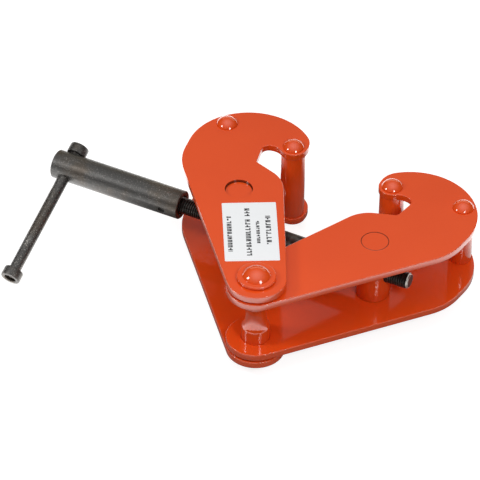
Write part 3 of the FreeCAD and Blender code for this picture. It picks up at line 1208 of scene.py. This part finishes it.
# Soft lights: name, azimuth and elevation in degrees, distance, width, height, power, colour.
STAGE_LIGHTS = (
    ("left_softbox", -53.0, 38.0, 0.75, 0.15, 0.16, 1.45, (1.0, 1.0, 1.0)),
    ("right_softbox", 56.0, 40.0, 0.75, 0.17, 0.15, 1.5, (1.0, 1.0, 1.0)),
    ("back_wall", 200.0, 22.0, 1.5, 1.6, 0.5, 2.6, (1.0, 0.88, 0.65)),
)
LIGHTS_AIM = Vector((-0.02, 0.085, 0.0))
CAMERA_PLACE = Vector((0.8929, -1.8633, 1.8759))
CAMERA_ANGLES = (25.979, 41.035)
CAMERA_ROLL = math.radians(0.812)
CAMERA_LENS = 261.5
VIEW_REACH = 20.0
FLOOR_HALF = 4.0


def add_floor():
    """Makes the floor under the clamp."""
    bm = bmesh.new()
    bmesh.ops.create_grid(bm, x_segments=8, y_segments=8, size=FLOOR_HALF)
    bmesh.ops.translate(bm, vec=UP * CAD_BOX[0].z, verts=bm.verts)
    mesh = bpy.data.meshes.new("floor")
    bm.to_mesh(mesh)
    bm.free()
    mesh.materials.append(finish_named("floor_white", floor_finish))
    floor = add_to_scene("floor", mesh)


def add_light(name, azimuth, elevation, distance, width, height, power, colour):
    """Makes one soft light that faces the clamp."""
    light = bpy.data.lights.new(name, "AREA")
    light.shape = "RECTANGLE"
    light.size = width
    light.size_y = height
    light.energy = power
    light.color = colour
    away = from_angles(azimuth, elevation)
    holder = add_to_scene(name, light)
    holder.location = LIGHTS_AIM + away * distance
    holder.rotation_euler = away.to_track_quat("Z", "Y").to_euler()


def add_camera():
    """Makes the camera, tilted a little about its own axis."""
    lens = bpy.data.cameras.new("camera")
    lens.lens = CAMERA_LENS
    lens.clip_end = VIEW_REACH
    back = from_angles(*CAMERA_ANGLES)
    right = UP.cross(back).normalized()
    upward = back.cross(right)
    across = right * math.cos(CAMERA_ROLL) + upward * math.sin(CAMERA_ROLL)
    turn = Matrix((across, back.cross(across), back)).transposed()
    camera = add_to_scene("camera", lens)
    camera.matrix_world = Matrix.Translation(CAMERA_PLACE) @ turn.to_4x4()
    return camera


class BEAMCLAMP_OT_stage(BuildOperator):
    """Makes the floor, the soft lights, the room's light and the camera"""

    bl_idname = "beam_clamp.stage"
    bl_label = "Stage"

    def execute(self, context):
        add_floor()
        context.scene.world = room_light()
        for light in STAGE_LIGHTS:
            add_light(*light)
        bpy.context.scene.camera = add_camera()
        context.scene.view_settings.view_transform = "Standard"
        return {"FINISHED"}


BUILD_STEPS = (
    BEAMCLAMP_OT_stage,
    BEAMCLAMP_OT_jaw_plates,
    BEAMCLAMP_OT_suspension_pin,
    BEAMCLAMP_OT_pivot_rings,
    BEAMCLAMP_OT_rivets,
    BEAMCLAMP_OT_sleeves,
    BEAMCLAMP_OT_trunnions,
    BEAMCLAMP_OT_spindle,
    BEAMCLAMP_OT_handle_tube,
    BEAMCLAMP_OT_cross_pin,
    BEAMCLAMP_OT_tommy_bar,
    BEAMCLAMP_OT_label,
)
SETTINGS = {
    "clamp_paint": PaintSettings,
    "clamp_steel": SteelSettings,
    "clamp_pin": PinSizes,
    "clamp_fasteners": FastenerSizes,
    "clamp_spindle": SpindleSizes,
    "clamp_handle": HandleSizes,
    "clamp_label": LabelSettings,
    "clamp_stage": StageSettings,
}


class BEAMCLAMP_PT_panel(bpy.types.Panel):
    """Lists the build steps and their settings"""

    bl_idname = "BEAMCLAMP_PT_panel"
    bl_label = "Beam clamp"
    bl_space_type = "VIEW_3D"
    bl_region_type = "UI"
    bl_category = "Beam clamp"

    def draw(self, context):
        for group in SETTINGS:
            box = self.layout.box()
            settings = getattr(context.scene, group)
            for key in settings.bl_rna.properties.keys():
                if key not in ("rna_type", "name"):
                    box.prop(settings, key)
        for step in BUILD_STEPS:
            self.layout.operator(step.bl_idname)


CLASSES = (*SETTINGS.values(), *BUILD_STEPS, BEAMCLAMP_PT_panel)


def register():
    """Registers the settings, the build steps and the panel."""
    for item in CLASSES:
        bpy.utils.register_class(item)
    for name, group in SETTINGS.items():
        setattr(bpy.types.Scene, name, PointerProperty(type=group))


def unregister():
    """Removes what register added."""
    for name in SETTINGS:
        delattr(bpy.types.Scene, name)
    for item in reversed(CLASSES):
        bpy.utils.unregister_class(item)


def main():
    """Builds the clamp step by step."""
    register()
    for step in BUILD_STEPS:
        group, name = step.bl_idname.split(".")
        getattr(getattr(bpy.ops, group), name)()


if __name__ == "__main__":
    main()
